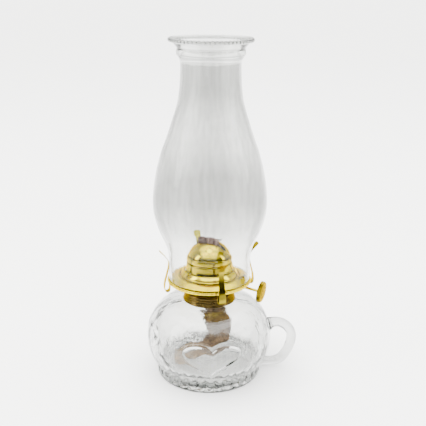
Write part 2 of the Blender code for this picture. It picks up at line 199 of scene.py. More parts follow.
def clear_glass(name, tones, round_tones, depth, ior, glare, wave_size, wave_depth, line_size,
                rough):
    """Colourless glass: slow waves of the surface, fine drawn lines, a faint tint, and greys
    painted into its colour as shade and highlights.

    tones are (height in mm, grey) pairs, from the foot upwards, and round_tones are (0 at
    the front and back to 1 at the two sides, grey) pairs: both are painted shade and painted
    highlights.  depth is how much light the body of the glass takes away for each metre."""
    mat, tree, shader = new_material(name)
    place = tree.nodes.new("ShaderNodeTexCoord").outputs["Object"]
    waves = add_node(tree, "ShaderNodeTexNoise", "slow waves", Scale=wave_size, Detail=1.5,
                     Vector=place)
    stretch = add_node(tree, "ShaderNodeMapping", "drawn lines", Scale=(1.0, 1.0, 0.12),
                       Vector=place)
    fine = add_node(tree, "ShaderNodeTexNoise", "fine lines", Scale=line_size, Detail=2.0,
                    Vector=stretch.outputs["Vector"])
    wave_bump = add_node(tree, "ShaderNodeBump", Strength=1.0, Distance=wave_depth,
                         Height=waves.outputs["Fac"])
    fine_bump = add_node(tree, "ShaderNodeBump", Strength=1.0, Distance=wave_depth * 0.08,
                         Height=fine.outputs["Fac"], Normal=wave_bump.outputs["Normal"])
    tree.links.new(fine_bump.outputs["Normal"], shader.inputs["Normal"])
    film = add_node(tree, "ShaderNodeTexNoise", "handling film", Scale=60.0, Detail=4.0,
                    Vector=place)
    spread = add_node(tree, "ShaderNodeMapRange", To_Min=0.0, To_Max=rough,
                      Value=film.outputs["Fac"])
    tree.links.new(spread.outputs["Result"], shader.inputs["Roughness"])
    parts = add_node(tree, "ShaderNodeSeparateXYZ", Vector=place)
    streaks = add_node(tree, "ShaderNodeTexNoise", "streaks", Scale=45.0, Detail=3.0,
                       Vector=stretch.outputs["Vector"])
    sway = add_node(tree, "ShaderNodeMapRange", "uneven edge", To_Min=-0.002, To_Max=0.002,
                    Value=streaks.outputs["Fac"])
    level = worked_out(tree, "ShaderNodeMath", "ADD", parts.outputs["Z"], sway.outputs["Result"])
    # painted shade and painted highlights by height, from the tones
    tint_and_painted_light = tone_by_height(tree, level, tones, (1.0, 1.004, 0.992))
    reams = add_node(tree, "ShaderNodeMapRange", "reams", From_Min=0.32, From_Max=0.68,
                     To_Min=0.90, To_Max=1.05, Value=fine.outputs["Fac"])
    tint_and_painted_light = multiplied(tree, tint_and_painted_light, reams.outputs["Result"])
    # painted shade and painted highlights from the front and back to the two sides, from
    # round_tones
    plan = add_node(tree, "ShaderNodeCombineXYZ", X=parts.outputs["X"], Y=parts.outputs["Y"])
    reach = worked_out(tree, "ShaderNodeVectorMath", "LENGTH", plan.outputs["Vector"])
    sideways = worked_out(tree, "ShaderNodeMath", "DIVIDE", parts.outputs["X"], reach)
    either = worked_out(tree, "ShaderNodeMath", "ABSOLUTE", sideways)
    sides = colour_steps(tree, either, [(way, (g, g, g)) for way, g in round_tones])
    tint_and_painted_light = multiplied(tree, tint_and_painted_light, sides)
    # painted shade: darker towards the outline, where the surface turns away from the eye
    slant = add_node(tree, "ShaderNodeLayerWeight", Blend=0.5)
    outline = colour_steps(tree, slant.outputs["Facing"],
                           [(at, (g, g, g)) for at, g in EDGE_SHADE_TONES])
    tree.links.new(multiplied(tree, tint_and_painted_light, outline), shader.inputs["Base Color"])
    shader.inputs["IOR"].default_value = ior
    shader.inputs["Specular Tint"].default_value = (glare, glare, glare, 1.0)
    shader.inputs["Transmission Weight"].default_value = 1.0
    body = tree.nodes.new("ShaderNodeVolumeAbsorption")
    body.inputs["Color"].default_value = (0.50, 0.52, 0.50, 1.0)
    body.inputs["Density"].default_value = depth / (1.0 - 0.50)
    tree.links.new(body.outputs["Volume"], tree.nodes["Material Output"].inputs["Volume"])
    return mat


# painted shade: the greys by height darken a band at the font's inner floor and leave the bowl a
# little darker than the foot; the greys across darken the two sides
pressed_glass = clear_glass(
    "pressed_glass",
    ((0.0, 0.97), (7.2, 0.97), (8.2, 0.82), (9.6, 0.82), (14.0, 0.89), (30.0, 0.91), (84.0, 0.92)),
    ((0.0, 1.0), (0.75, 0.97), (0.92, 0.86), (1.0, 0.72)),
    depth=11.0, ior=1.5, glare=0.7, wave_size=48.0, wave_depth=0.0022, line_size=400.0, rough=0.02)

FONT_BODY = ((50.4, 10.6), (51.9, 12.8), (55.3, 18.9), (58.3, 28.0), (59.4, 38.0), (58.4, 46.0),
             (56.0, 54.0), (52.2, 61.4), (46.6, 67.6), (39.6, 71.8), (31.5, 73.7), (25.5, 74.25))
FONT_HOLLOW = ((18.3, 72.6), (19.2, 70.9), (22.0, 70.1), (30.0, 69.2), (38.2, 67.2),
               (44.4, 63.4), (49.2, 57.0), (52.6, 49.0), (54.2, 38.0), (53.0, 28.0),
               (49.4, 19.5), (43.4, 13.0), (34.0, 9.8), (20.0, 8.7), (3.0, 8.5))
font_foot = [(0.0, 1.8), (20.0, 1.8), (36.0, 1.7), (39.6, 1.3), (41.4, 0.4), (43.0, 0.0),
             (46.6, 0.0), (48.4, 0.15), (49.4, 0.7), (49.8, 1.5)]
font_foot += [(49.8, 1.5 + 0.75 * k) for k in range(1, 10)] + [(49.9, 9.0), (50.05, 9.9)]
neck_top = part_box("glass_font")[1].z / MM
font_neck = [(21.6, 74.4), (20.9, 74.8), (20.6, 75.6), (20.6, neck_top - 0.8),
             (20.3, neck_top - 0.2), (19.8, neck_top), (19.0, neck_top), (18.5, neck_top - 0.2),
             (18.3, neck_top - 0.8)]
font_profile = font_foot + even_path(smooth_path(FONT_BODY, 8), 0.95).tolist() + font_neck
font_profile += even_path(smooth_path(FONT_HOLLOW, 8), 2.4).tolist() + [(0.0, 8.5)]

REEDS = 36                   # upright reeds round the foot
REED_DEPTH = 2.6
HEARTS = ((1.0, 1.0), (-89.0, 0.45), (181.0, 0.7))    # azimuth, and how boldly it stands out
HEART_HALF_WIDTH = 27.5
HEART_HEIGHT = 17.2
HEART_CENTRE = 40.4
HEART_REACH = 58.0          # the bowl's radius where the hearts stand
HEART_RIDGE = 1.1           # how far the ridge stands out, and half its width
HEART_RIDGE_HALF = 2.3


def heart_distance(across, up):
    """Distance from the heart's ridge line, negative inside the heart."""
    t = np.linspace(0.0, 2 * math.pi, 361)[:-1]
    x = HEART_HALF_WIDTH * np.sin(t) ** 3
    y = HEART_CENTRE + HEART_HEIGHT * (13 * np.cos(t) - 5 * np.cos(2 * t) - 2 * np.cos(3 * t)
                                       - np.cos(4 * t)) / 17
    y += 2.6 * np.clip(np.cos(t), 0.0, 1.0) ** 8 - 1.6 * np.clip(-np.cos(t), 0.0, 1.0) ** 8
    gap = np.hypot(across[:, None] - x[None], up[:, None] - y[None]).min(1)
    x2, y2 = np.roll(x, -1), np.roll(y, -1)
    crosses = (y[None] > up[:, None]) != (y2[None] > up[:, None])
    rise = np.where(np.abs(y2 - y) < 1e-9, 1e-9, y2 - y)
    reach = x[None] + (up[:, None] - y[None]) * (x2 - x)[None] / rise[None]
    inside = (crosses & (across[:, None] < reach)).sum(1) % 2 == 1
    return np.where(inside, -gap, gap)


def font_relief(r, z, a):
    band = np.clip(np.minimum((z - 0.3) / 3.2, (16.6 - z) / 2.4), 0.0, 1.0)
    on_foot = (r > 45.0) & (z < 16.6) & (np.arange(len(r))[:, None] < len(font_foot) + 40)
    valley = 1.0 - np.abs(np.cos(REEDS * a / 2.0)) ** 0.8
    r = r - np.where(on_foot, REED_DEPTH * band * valley, 0.0)
    wall = (z > 18.0) & (z < 62.0) & (r > 50.0) & (np.arange(len(r))[:, None] < len(font_foot) + 90)
    for centre, bold in HEARTS:
        turn = (a - math.radians(centre) + math.pi) % (2 * math.pi) - math.pi
        across = turn * HEART_REACH
        near = wall & (np.abs(across) < 34.0)
        gap = heart_distance(across[near], z[near])
        ridge = np.cos(np.clip(np.abs(gap) / HEART_RIDGE_HALF, 0.0, 1.0) * math.pi / 2) ** 1.3
        dish = 0.35 * np.clip((-gap - HEART_RIDGE_HALF) / 3.0, 0.0, 1.0)
        r[near] = r[near] + bold * (HEART_RIDGE * ridge - dish)
    return r, z


font = turned("font_glass", font_profile, 432, pressed_glass, closed=False, form=font_relief,
              sharp=70.0)

LOOP_PATH = ((56.4, 46.0), (59.4, 47.3), (63.5, 48.4), (69.0, 47.9), (75.6, 44.0), (79.8, 37.2),
             (80.0, 28.0), (76.8, 18.5), (71.9, 11.0), (65.8, 6.9), (59.0, 6.1), (53.0, 6.2),
             (47.0, 6.4))
LOOP_RADIUS = 4.65
LOOP_SIDES = 36
loop_path = even_path(smooth_path(LOOP_PATH, 8), 1.3)
ahead = np.gradient(loop_path, axis=0)
ahead /= np.linalg.norm(ahead, axis=1)[:, None]
loop_points = []
for (x, z), (tx, tz) in zip(loop_path, ahead):
    flare = (1.9 * math.exp(-max(0.0, x - 58.2) / 2.6) if z > 30.0
             else 1.5 * math.exp(-max(0.0, x - 50.6) / 2.4))    # it spreads where it joins
    size = LOOP_RADIUS + flare
    for k in range(LOOP_SIDES):
        angle = 2 * math.pi * k / LOOP_SIDES
        loop_points.append(((x + tz * size * math.cos(angle)) * MM,
                            size * 0.97 * math.sin(angle) * MM,
                            (z - tx * size * math.cos(angle)) * MM))


def tube_faces(rows, columns):
    """Faces round a tube of rows of points, with its two ends closed."""
    faces = [[i * columns + k, (i + 1) * columns + k, (i + 1) * columns + (k + 1) % columns,
              i * columns + (k + 1) % columns] for i in range(rows - 1) for k in range(columns)]
    return faces + [list(range(columns)),
                    [(rows - 1) * columns + k for k in reversed(range(columns))]]


loop_faces = tube_faces(len(loop_path), LOOP_SIDES)
loop = mesh_piece("loop_blank", loop_points, loop_faces, pressed_glass)


def apply_modifiers(obj):
    """Turn an object's modifiers into plain mesh."""
    graph = bpy.context.evaluated_depsgraph_get()
    mesh = bpy.data.meshes.new_from_object(obj.evaluated_get(graph), depsgraph=graph)
    obj.modifiers.clear()
    old = obj.data
    obj.data = mesh
    bpy.data.meshes.remove(old)
    return mesh


def outward(obj):
    bm = bmesh.new()
    bm.from_mesh(obj.data)
    bmesh.ops.recalc_face_normals(bm, faces=bm.faces)
    bm.to_mesh(obj.data)
    bm.free()


outward(loop)
fuse = font.modifiers.new("fuse", "BOOLEAN")
fuse.operation = "UNION"
fuse.solver = "EXACT"
fuse.object = loop
apply_modifiers(font)
bpy.data.objects.remove(loop)
font.data.shade_smooth()
font.data.set_sharp_from_angle(angle=math.radians(75.0))
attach(font, "font")
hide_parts("glass_font", "finger_handle")

# ---------------------------------------------------------------------------------------
# Brass collar, spun from thin sheet with rolled beads and cemented over the glass neck
# with plaster.  Its inside is threaded for the burner.


def polished_brass(name, deep, bright, rough, turned_work=True, shade_bands=None):
    """Bright brass: faint turning or drawing lines, handling marks and slow tone changes.

    bands are (height in mm, tone) pairs of painted shade: darker in a groove or on an upright wall."""
    mat, tree, shader = new_material(name)
    place = tree.nodes.new("ShaderNodeTexCoord").outputs["Object"]
    cloud = add_node(tree, "ShaderNodeTexNoise", "tone", Scale=55.0, Detail=5.0, Roughness=0.6,
                     Vector=place)
    tone = colour_steps(tree, cloud.outputs["Fac"], ((0.30, deep), (0.62, bright)))
    parts = add_node(tree, "ShaderNodeSeparateXYZ", Vector=place)
    if shade_bands:
        # painted shade by height, from the bands: darker in grooves and on upright walls
        painted_shade = tone_by_height(tree, parts.outputs["Z"], shade_bands, (1.0, 0.97, 1.0))
        tone = multiplied(tree, tone, painted_shade)
    tree.links.new(tone, shader.inputs["Base Color"])
    shader.inputs["Specular Tint"].default_value = (0.95, 0.72, 0.12, 1.0)
    marks = add_node(tree, "ShaderNodeTexNoise", "handling marks", Scale=240.0, Detail=6.0,
                     Vector=place)
    spread = add_node(tree, "ShaderNodeMapRange", To_Min=rough * 0.55, To_Max=rough * 1.6,
                      Value=marks.outputs["Fac"])
    tree.links.new(spread.outputs["Result"], shader.inputs["Roughness"])
    if turned_work:
        flat = add_node(tree, "ShaderNodeCombineXYZ", X=parts.outputs["X"], Y=parts.outputs["Y"])
        radius = worked_out(tree, "ShaderNodeVectorMath", "LENGTH", flat.outputs["Vector"])
        rings = add_node(tree, "ShaderNodeCombineXYZ", X=radius, Y=parts.outputs["Z"])
        line_place = rings.outputs["Vector"]
        line_scale = 2600.0
    else:
        drawn = add_node(tree, "ShaderNodeMapping", "drawn", Scale=(1.0, 1.0, 0.05), Vector=place)
        line_place = drawn.outputs["Vector"]
        line_scale = 1500.0
    lines = add_node(tree, "ShaderNodeTexNoise", "tool lines", Scale=line_scale, Detail=2.0,
                     Vector=line_place)
    line_bump = add_node(tree, "ShaderNodeBump", Strength=0.5, Distance=0.00001,
                         Height=lines.outputs["Fac"])
    dents = add_node(tree, "ShaderNodeBump", Strength=0.6, Distance=0.00012,
                     Height=cloud.outputs["Fac"], Normal=line_bump.outputs["Normal"])
    tree.links.new(dents.outputs["Normal"], shader.inputs["Normal"])
    shader.inputs["Metallic"].default_value = 1.0
    return mat


bright_brass = polished_brass("bright_brass", (0.48, 0.35, 0.008), (0.66, 0.54, 0.012), 0.11)
collar_brass = polished_brass("collar_brass", (0.055, 0.036, 0.010), (0.095, 0.066, 0.020), 0.22)
drawn_brass = polished_brass("drawn_brass", (0.36, 0.25, 0.006), (0.50, 0.37, 0.010), 0.14, False)


def sheet_outline(path, thickness, spacing=0.35):
    """Closed outline of thin sheet with rounded edges; the path is its show side."""
    p = even_path(path, spacing)
    t = np.gradient(p, axis=0)
    t /= np.linalg.norm(t, axis=1)[:, None]
    out = np.stack([t[:, 1], -t[:, 0]], -1)
    inner = p - out * thickness
    cap = p[-1] - out[-1] * thickness / 2 + t[-1] * thickness * 0.4
    foot = p[0] - out[0] * thickness / 2 - t[0] * thickness * 0.4
    return np.vstack([p, cap[None], inner[::-1], foot[None]])


COLLAR_SHOW = ((24.7, 74.7), (24.95, 75.2), (24.7, 75.8), (24.15, 76.4), (24.0, 77.2),
               (24.1, 78.0), (23.8, 78.6), (23.35, 79.0), (23.45, 79.5), (23.6, 80.0),
               (23.4, 80.5), (22.95, 80.9), (22.95, 81.6), (23.05, 82.3), (22.7, 83.1),
               (22.0, 83.8), (20.8, 84.5), (18.8, 84.75), (16.95, 84.75))
THREAD_PITCH = 1.814
thread = [(16.2 + 0.25 * math.cos(2 * math.pi * k / 6.0), 84.3 - THREAD_PITCH * k / 6.0)
          for k in range(31)]
collar_show = even_path(smooth_path(COLLAR_SHOW, 4), 0.3)
collar_back = [(16.95, 75.0), (16.95, 83.9), (20.4, 83.9), (21.6, 83.2), (22.25, 82.2),
               (22.25, 78.2), (22.9, 76.8), (23.4, 75.9), (23.9, 75.2), (24.2, 74.7)]
collar = turned("collar", collar_show.tolist() + thread + collar_back, 192, collar_brass)
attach(collar, "font")
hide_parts("font_collar")

plaster, tree, shader = new_material("collar_cement")
grain = add_node(tree, "ShaderNodeTexNoise", Scale=900.0, Detail=5.0,
                 Vector=tree.nodes.new("ShaderNodeTexCoord").outputs["Object"])
tree.links.new(colour_steps(tree, grain.outputs["Fac"], ((0.3, (0.55, 0.51, 0.43)),
                                                         (0.7, (0.74, 0.71, 0.63)))),
               shader.inputs["Base Color"])
pits = add_node(tree, "ShaderNodeBump", Strength=0.6, Distance=0.0002, Height=grain.outputs["Fac"])
tree.links.new(pits.outputs["Normal"], shader.inputs["Normal"])
shader.inputs["Roughness"].default_value = 0.9


def dress(node, mat):
    """Give a carried-over piece its finish."""
    obj = frame["nodes"][node]
    obj.data.materials.clear()
    obj.data.materials.append(mat)


dress("collar_plaster", plaster)

# ---------------------------------------------------------------------------------------
# Burner body: a threaded ring that screws into the collar, a pressed bowl crimped to it
# with a row of round air holes under its lip, a flat tube for the wick soldered through
# it, and a pierced screen round the tube.  All of it is thin brass.


def node_tree(name, sizes):
    """A Geometry Nodes tree with named number inputs; returns it with its two ends."""
    tree = bpy.data.node_groups.new(name, "GeometryNodeTree")
    tree.interface.new_socket("Geometry", in_out="INPUT", socket_type="NodeSocketGeometry")
    for label, kind, value in sizes:
        socket = tree.interface.new_socket(label, in_out="INPUT", socket_type=kind)
        socket.default_value = value
    tree.interface.new_socket("Geometry", in_out="OUTPUT", socket_type="NodeSocketGeometry")
    return tree, tree.nodes.new("NodeGroupInput"), tree.nodes.new("NodeGroupOutput")


def made_by_nodes(obj, tree, sizes):
    """Run a tree on an object with the given sizes and keep the result as plain mesh."""
    mod = obj.modifiers.new(tree.name, "NODES")
    mod.node_group = tree
    for item in tree.interface.items_tree:
        if item.item_type == "SOCKET" and item.in_out == "INPUT" and item.name in sizes:
            mod[item.identifier] = sizes[item.name]
    apply_modifiers(obj)
    return obj


def piercing_tree():
    """Holes in rings: a round punch at each point of a ring, cut from the sheet."""
    tree, start, end = node_tree("pierced_rings", (
        ("Holes", "NodeSocketInt", 24), ("Ring Radius", "NodeSocketFloat", 0.02),
        ("Hole Radius", "NodeSocketFloat", 0.001), ("Height", "NodeSocketFloat", 0.09),
        ("Depth", "NodeSocketFloat", 0.01), ("Lean", "NodeSocketFloat", 0.0)))
    ring = add_node(tree, "GeometryNodeMeshCircle", Vertices=start.outputs["Holes"],
                    Radius=start.outputs["Ring Radius"])
    rise = add_node(tree, "ShaderNodeCombineXYZ", Z=start.outputs["Height"])
    lift = add_node(tree, "GeometryNodeTransform", Geometry=ring.outputs["Mesh"],
                    Translation=rise.outputs["Vector"])
    punch = add_node(tree, "GeometryNodeMeshCylinder", Vertices=14,
                     Radius=start.outputs["Hole Radius"], Depth=start.outputs["Depth"])
    tilt = add_node(tree, "ShaderNodeCombineXYZ", Y=start.outputs["Lean"])
    lean = add_node(tree, "GeometryNodeTransform", Geometry=punch.outputs["Mesh"],
                    Rotation=tilt.outputs["Vector"])
    spot = tree.nodes.new("GeometryNodeInputPosition")
    flat = worked_out(tree, "ShaderNodeVectorMath", "MULTIPLY", spot.outputs["Position"],
                      (1.0, 1.0, 0.0))
    face = add_node(tree, "FunctionNodeAlignRotationToVector", axis="X", Vector=flat)
    place = add_node(tree, "GeometryNodeInstanceOnPoints", Points=lift.outputs["Geometry"],
                     Instance=lean.outputs["Geometry"], Rotation=face.outputs["Rotation"])
    real = add_node(tree, "GeometryNodeRealizeInstances", Geometry=place.outputs["Instances"])
    cut = add_node(tree, "GeometryNodeMeshBoolean", operation="DIFFERENCE",
                   Mesh_1=start.outputs["Geometry"], Mesh_2=real.outputs["Geometry"])
    solid = add_node(tree, "GeometryNodeRealizeInstances", Geometry=cut.outputs["Mesh"])
    coat = add_node(tree, "GeometryNodeSetMaterial", Material=bright_brass,
                    Geometry=solid.outputs["Geometry"])
    tree.links.new(coat.outputs["Geometry"], end.inputs["Geometry"])
    return tree


pierced = piercing_tree()
BOWL_SHOW = ((15.3, 85.2), (18.0, 85.2), (20.5, 85.25), (22.2, 85.6), (23.6, 86.5),
             (24.8, 88.0), (25.4, 90.0), (25.5, 92.0), (25.5, 95.5), (25.5, 98.9))
bowl = turned("bowl", sheet_outline(smooth_path(BOWL_SHOW, 6), 0.55, 0.6), 192, bright_brass)
made_by_nodes(bowl, pierced, {"Holes": 36, "Ring Radius": 0.025, "Hole Radius": 0.00115,
                              "Height": 0.0935, "Depth": 0.006, "Lean": math.pi / 2})
SHAFT_AZIMUTH = math.radians(66.0)
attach(bowl, "burner")
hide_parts("burner_bowl")

thread_out = [(15.72 + 0.17 * math.cos(2 * math.pi * k / 6.0), 75.8 + THREAD_PITCH * k / 6.0)
              for k in range(29)]
ring_profile = [(15.1, 75.4), (15.6, 75.4)] + thread_out + [(15.85, 84.5), (15.7, 84.85),
                                                           (14.95, 84.85), (14.95, 75.6)]
ring = turned("threaded_ring", ring_profile, 144, bright_brass)
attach(ring, "thread_ring")
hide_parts("burner_ring")
for node in ("wick_tube", "air_screen", "wick_tensioner", "wheel_housing", "shaft_sleeve"):
    dress(node, drawn_brass)

# ---------------------------------------------------------------------------------------
# Raiser: a wire shaft across the burner with toothed wheels that bite into the wick, and
# a pressed brass thumb wheel with a milled edge and a plain rosette on its face.

record = frame["record"]
joints = {j["name"]: j for j in record["behaviour"]["joints"]}
shaft_at = np.array(joints["knob_spin"]["pos_m"]) / MM
shaft_along = np.array(joints["knob_spin"]["axis"])
shaft_side = np.array((math.cos(SHAFT_AZIMUTH), math.sin(SHAFT_AZIMUTH), 0.0))
shaft_up = np.cross(shaft_along, shaft_side)


def onto_shaft(obj):
    """Move a mesh turned about +Z so that it is turned about the shaft."""
    mesh = obj.data
    co = np.empty(len(mesh.vertices) * 3)
    mesh.vertices.foreach_get("co", co)
    co = co.reshape(-1, 3)
    moved = (shaft_at * MM + co[:, 2:3] * shaft_along + co[:, 0:1] * shaft_side
             + co[:, 1:2] * shaft_up)
    mesh.vertices.foreach_set("co", moved.ravel())
    mesh.update()
    outward(obj)


KNOB_FACE = 53.4
knob_show = smooth_path(((9.35, KNOB_FACE - 4.65), (9.8, KNOB_FACE - 4.7), (10.0, KNOB_FACE - 4.3),
                         (10.0, KNOB_FACE - 3.2), (9.95, KNOB_FACE - 2.0), (9.6, KNOB_FACE - 1.2),
                         (8.9, KNOB_FACE - 0.85), (8.3, KNOB_FACE - 0.95), (7.6, KNOB_FACE - 0.75),
                         (6.0, KNOB_FACE - 0.35), (3.6, KNOB_FACE - 0.12), (1.2, KNOB_FACE)), 6)
knob_back = [(0.8, KNOB_FACE - 1.25), (1.55, KNOB_FACE - 1.3), (1.55, KNOB_FACE - 4.0),
             (2.9, KNOB_FACE - 4.0), (3.1, KNOB_FACE - 1.15), (6.0, KNOB_FACE - 1.15),
             (8.6, KNOB_FACE - 1.6), (9.1, KNOB_FACE - 2.2), (9.2, KNOB_FACE - 4.4)]
knob_profile = [(0.0, KNOB_FACE)] + knob_show[::-1].tolist() + knob_back[::-1]
knob_profile += [(0.0, KNOB_FACE - 1.25)]


def milled_edge(r, z, a):
    front = np.arange(len(r))[:, None] < len(knob_show)
    rim = np.clip((r - 9.3) / 0.4, 0.0, 1.0)
    milled = r - np.where(front, rim * 0.34 * (1.0 - np.abs(np.cos(36 * a))), 0.0)
    petal = np.clip(1.0 - np.abs(r - 5.1) / 2.1, 0.0, 1.0) * np.abs(np.cos(4 * a)) ** 1.5
    boss = np.clip(1.0 - (r / 2.2) ** 2, 0.0, 1.0)
    return milled, z + np.where(front & (z > KNOB_FACE - 1.2), 0.45 * petal + 0.4 * boss, 0.0)


worn_brass = polished_brass("worn_brass", (0.11, 0.074, 0.002), (0.22, 0.160, 0.006), 0.24, False)
knob = turned("thumb_wheel_milled", knob_profile, 288, worn_brass, closed=False,
              form=milled_edge)
onto_shaft(knob)
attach(knob, "raiser")
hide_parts("thumb_wheel")

shaft_profile = [(0.0, -14.2), (0.9, -14.2), (1.25, -13.9), (1.25, -13.0), (1.25, 20.0),
                 (1.25, 49.0), (1.25, KNOB_FACE - 1.9), (1.1, KNOB_FACE - 1.6),
                 (0.0, KNOB_FACE - 1.6)]
shaft = turned("shaft_wire", shaft_profile, 32, drawn_brass, closed=False)
onto_shaft(shaft)
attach(shaft, "raiser")
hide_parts("raiser_shaft")
for k in (1, 2, 3):
    dress("star_wheel_%d" % k, drawn_brass)

# ---------------------------------------------------------------------------------------
# Wick: a flat strap of loosely woven cotton.  It comes up the tube to a burnt, frayed
# edge in the dome's slot, and its slack end hangs and leans on the floor of the font.

WICK_HALF_WIDTH = 11.9
WICK_HALF_DEPTH = 1.3
WICK_ROUTE = ((-32.0, -6.2, 13.0, 5.0), (-27.0, -5.9, 13.6, 5.0), (-20.0, -5.6, 16.2, 8.0),
              (-12.0, -5.4, 20.2, 14.0), (-3.5, -5.0, 25.4, 24.0), (4.0, -4.2, 31.0, 42.0),
              (8.0, -3.0, 37.5, 64.0), (8.9, -1.8, 44.5, 78.0), (8.2, -0.8, 51.0, 82.0),
              (6.0, 0.0, 57.0, 80.0), (2.2, 0.2, 62.2, 72.0), (0.0, 0.0, 66.6, 66.0),
              (0.0, 0.0, 68.4, 66.0), (0.0, 0.0, 72.0, 66.0), (0.0, 0.0, 100.0, 66.0),
              (0.0, 0.0, 134.6, 66.0))
WICK_STEP = 0.42
BURNT_ROWS = 34.0            # over how many steps the burnt edge fades out
route = even_path(smooth_path(WICK_ROUTE, 12), WICK_STEP)
run = np.gradient(route[:, :3], axis=0)
run /= np.linalg.norm(run, axis=1)[:, None]
turn = np.radians(route[:, 3])
along = np.stack([np.sin(turn), -np.cos(turn), np.zeros(len(turn))], -1)
along -= run * (along * run).sum(1)[:, None]
along /= np.linalg.norm(along, axis=1)[:, None]
face = np.cross(run, along)
COUNT = 72                   # points round the strap's section
around = np.arange(COUNT) / COUNT * 4.0
side = np.where(around < 2.0, around - 1.0, 3.0 - around)
front = np.where(around < 2.0, 1.0, -1.0)
length = np.arange(len(route)) * WICK_STEP
points = []
for i in range(len(route)):
    roll = np.sqrt(np.clip(1.0 - np.abs(side) ** 8, 0.0, 1.0))
    warp = 0.16 * np.abs(np.sin(side * math.pi * 7.0))
    weft = 0.07 * math.sin(2 * math.pi * length[i] / 1.68)
    depth = front * roll * (WICK_HALF_DEPTH - 0.2 + warp + weft * np.sign(np.sin(side * 44.0)))
    wide = side * (WICK_HALF_WIDTH + 0.12 * math.sin(length[i] * 1.9))
    burnt = 0.35 * np.sin(side * 9.0 + 0.6) + 0.3 * np.sin(side * 23.0) + 0.7
    burnt -= 9.0 * np.clip((side - 0.30) / 0.70, 0.0, 1.0) ** 1.9 + 1.6 * np.clip(-side - 0.7, 0, 1)
    top = burnt * max(0.0, 1.0 - (len(route) - 1 - i) / BURNT_ROWS)
    p = (route[i, :3] + along[i] * wide[:, None] + face[i] * depth[:, None])
    p[:, 2] += top - 0.4 * (i == len(route) - 1)
    points.append(p)
points = (np.vstack(points) * MM).tolist()
rows = len(route)
faces = [[i * COUNT + k, i * COUNT + (k + 1) % COUNT, (i + 1) * COUNT + (k + 1) % COUNT,
          (i + 1) * COUNT + k] for i in range(rows - 1) for k in range(COUNT)]
half = COUNT // 2
for base, flip in ((0, False), ((rows - 1) * COUNT, True)):
    for k in range(half - 1):
        quad = [base + k, base + k + 1, base + COUNT - 2 - k, base + COUNT - 1 - k]
        faces.append(quad if flip else quad[::-1])

cotton, tree, shader = new_material("wick_cotton")
place = tree.nodes.new("ShaderNodeTexCoord").outputs["Object"]
parts = add_node(tree, "ShaderNodeSeparateXYZ", Vector=place)
height = add_node(tree, "ShaderNodeMapRange", From_Min=0.0, From_Max=0.140,
                  Value=parts.outputs["Z"])
base_tone = colour_steps(tree, height.outputs["Result"], (
    (0.08, (0.40, 0.32, 0.20)), (0.20, (0.20, 0.145, 0.085)), (0.36, (0.15, 0.105, 0.06)),
    (0.52, (0.13, 0.09, 0.05)), (0.88, (0.20, 0.135, 0.12)), (0.955, (0.42, 0.31, 0.30))))
yarn = add_node(tree, "ShaderNodeTexNoise", "yarn", Scale=1100.0, Detail=4.0, Vector=place)
stain = add_node(tree, "ShaderNodeTexNoise", "oil stains", Scale=90.0, Detail=4.0, Vector=place)
speck = colour_steps(tree, yarn.outputs["Fac"], ((0.35, (0.62, 0.58, 0.56)),
                                                 (0.65, (1.25, 1.2, 1.15))))
blot = colour_steps(tree, stain.outputs["Fac"], ((0.35, (0.7, 0.66, 0.62)),
                                                 (0.65, (1.15, 1.12, 1.1))))
strand_place = add_node(tree, "ShaderNodeMapping", "warp", Scale=(1.0, 1.0, 0.07), Vector=place)
strand = add_node(tree, "ShaderNodeTexNoise", "warp threads", Scale=620.0, Detail=3.0,
                  Vector=strand_place.outputs["Vector"])
threads = colour_steps(tree, strand.outputs["Fac"], ((0.38, (0.55, 0.50, 0.50)),
                                                     (0.52, (1.0, 1.0, 1.0)),
                                                     (0.66, (2.1, 2.0, 2.0))))
for source in (speck, blot, threads):
    base_tone = multiplied(tree, base_tone, source)
tree.links.new(base_tone, shader.inputs["Base Color"])
nap = add_node(tree, "ShaderNodeBump", Strength=0.8, Distance=0.0002, Height=yarn.outputs["Fac"])
tree.links.new(nap.outputs["Normal"], shader.inputs["Normal"])
shader.inputs["Roughness"].default_value = 0.95
shader.inputs["Sheen Weight"].default_value = 0.25

wick = mesh_piece("wick_strap", points, faces, cotton)
outward(wick)

FIBRES = 420
rng = np.random.default_rng(7)
top_along, top_face = along[-1], face[-1]
fibre_points, fibre_faces = [], []
for k in range(FIBRES):
    w = rng.uniform(-0.98, 0.98) * WICK_HALF_WIDTH
    d = rng.uniform(-1.0, 1.0) * WICK_HALF_DEPTH
    start = top_along * w + top_face * d + np.array((0.0, 0.0, rng.uniform(132.6, 134.2)))
    lean = top_along * rng.normal(0, 0.35) + top_face * (0.5 * np.sign(d) + rng.normal(0, 0.4))
    reach = rng.uniform(0.5, 1.7)
    tip = start + (np.array((0, 0, 1.0)) + lean) * reach
    for way, most in ((top_face, 1.8), (top_along, 12.3)):    # room to pass down the tube
        tip = tip - way * (tip @ way - np.clip(tip @ way, -most, most))
    mid = (start + tip) / 2 + lean * 0.12
    base = len(fibre_points)
    for centre, size in ((start, 0.13), (mid, 0.11)):
        for q in range(3):
            b = 2 * math.pi * q / 3
            fibre_points.append((centre + top_along * size * math.cos(b)
                                 + top_face * size * math.sin(b)) * MM)
    fibre_points.append(tip * MM)
    for q in range(3):
        r2 = (q + 1) % 3
        fibre_faces.append([base + q, base + r2, base + 3 + r2, base + 3 + q])
        fibre_faces.append([base + 3 + q, base + 3 + r2, base + 6])
    fibre_faces.append([base + 2, base + 1, base])
nap_piece = mesh_piece("wick_fray", fibre_points, fibre_faces, cotton)
outward(nap_piece)
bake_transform(wick)
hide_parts("wick", "wick_tail")
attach(nap_piece, "wick")
